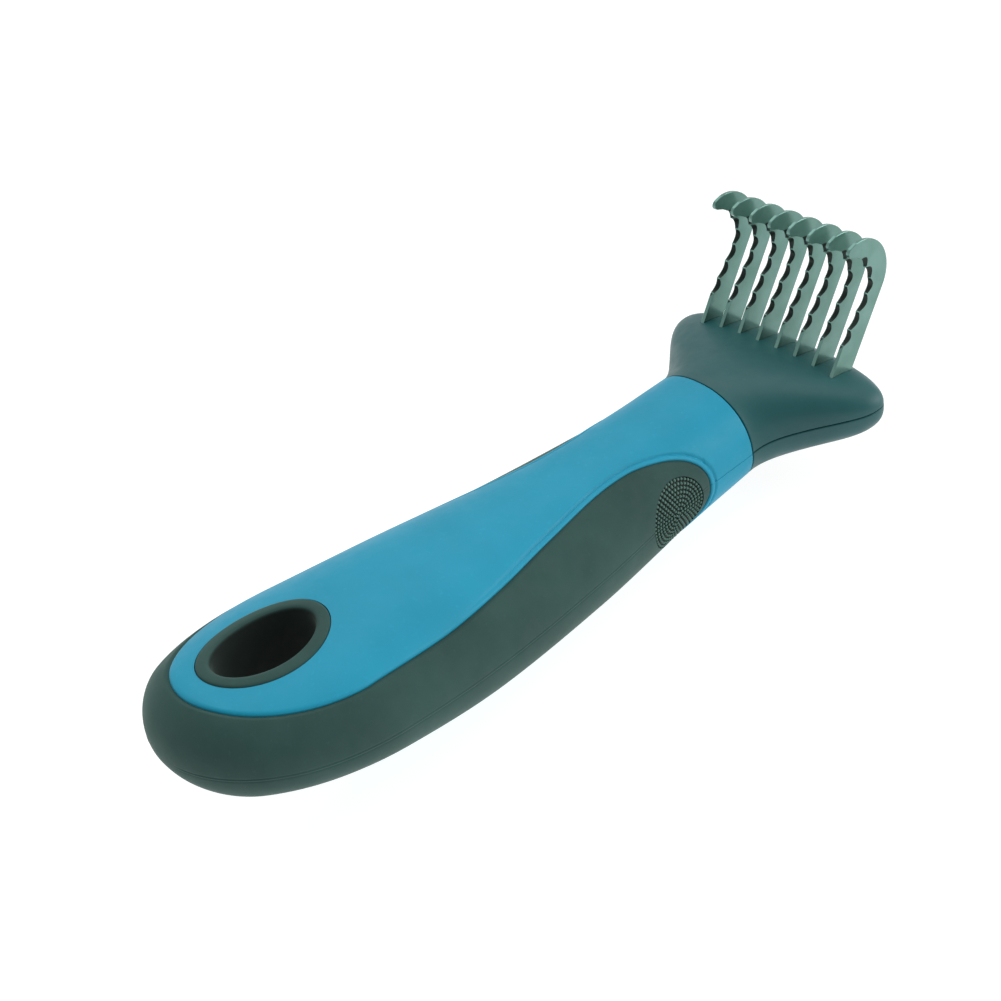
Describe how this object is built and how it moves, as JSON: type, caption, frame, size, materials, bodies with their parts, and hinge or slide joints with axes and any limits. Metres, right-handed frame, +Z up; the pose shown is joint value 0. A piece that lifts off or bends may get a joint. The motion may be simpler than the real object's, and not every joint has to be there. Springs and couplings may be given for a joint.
{
  "type": "dematting comb",
  "caption": "Hand-held dematting comb: hollow two-tone handle with a soft grip band and hang hole, flared two-shell head and a row of hooked serrated steel blades.",
  "frame": {"origin": "middle of the comb's box at its base, on the small flat that the comb lies on", "axes": "+X across the row of blades, +Y from the butt to the head, +Z up, the side that the blades stand on"},
  "size_m": [0.0538, 0.1658, 0.048],
  "materials": {
    "blue_plastic": "fine matte moulded",
    "soft_grip": "soft matte rubber",
    "grey_plastic": "satin moulded",
    "blade_steel": "satin stamped and ground",
    "spacer_nylon": "natural nylon",
    "rod_steel": "drawn steel",
    "screw_steel": "zinc plated"
  },
  "bodies": {
    "root": {"handle_front_half": "blue_plastic", "handle_rear_half": "blue_plastic", "grip_overmold": "soft_grip", "hang_liner": "soft_grip", "head_front_shell": "grey_plastic", "head_rear_shell": "grey_plastic", "blade_1": "blade_steel", "blade_2": "blade_steel", "blade_3": "blade_steel", "blade_4": "blade_steel", "blade_5": "blade_steel", "blade_6": "blade_steel", "blade_7": "blade_steel", "blade_8": "blade_steel", "spacer_1": "spacer_nylon", "spacer_2": "spacer_nylon", "spacer_3": "spacer_nylon", "spacer_4": "spacer_nylon", "spacer_5": "spacer_nylon", "spacer_6": "spacer_nylon", "spacer_7": "spacer_nylon", "end_spacer_left": "spacer_nylon", "end_spacer_right": "spacer_nylon", "upper_rod": "rod_steel", "lower_rod": "rod_steel", "head_screws": "screw_steel"}
  },
  "joints": []
}
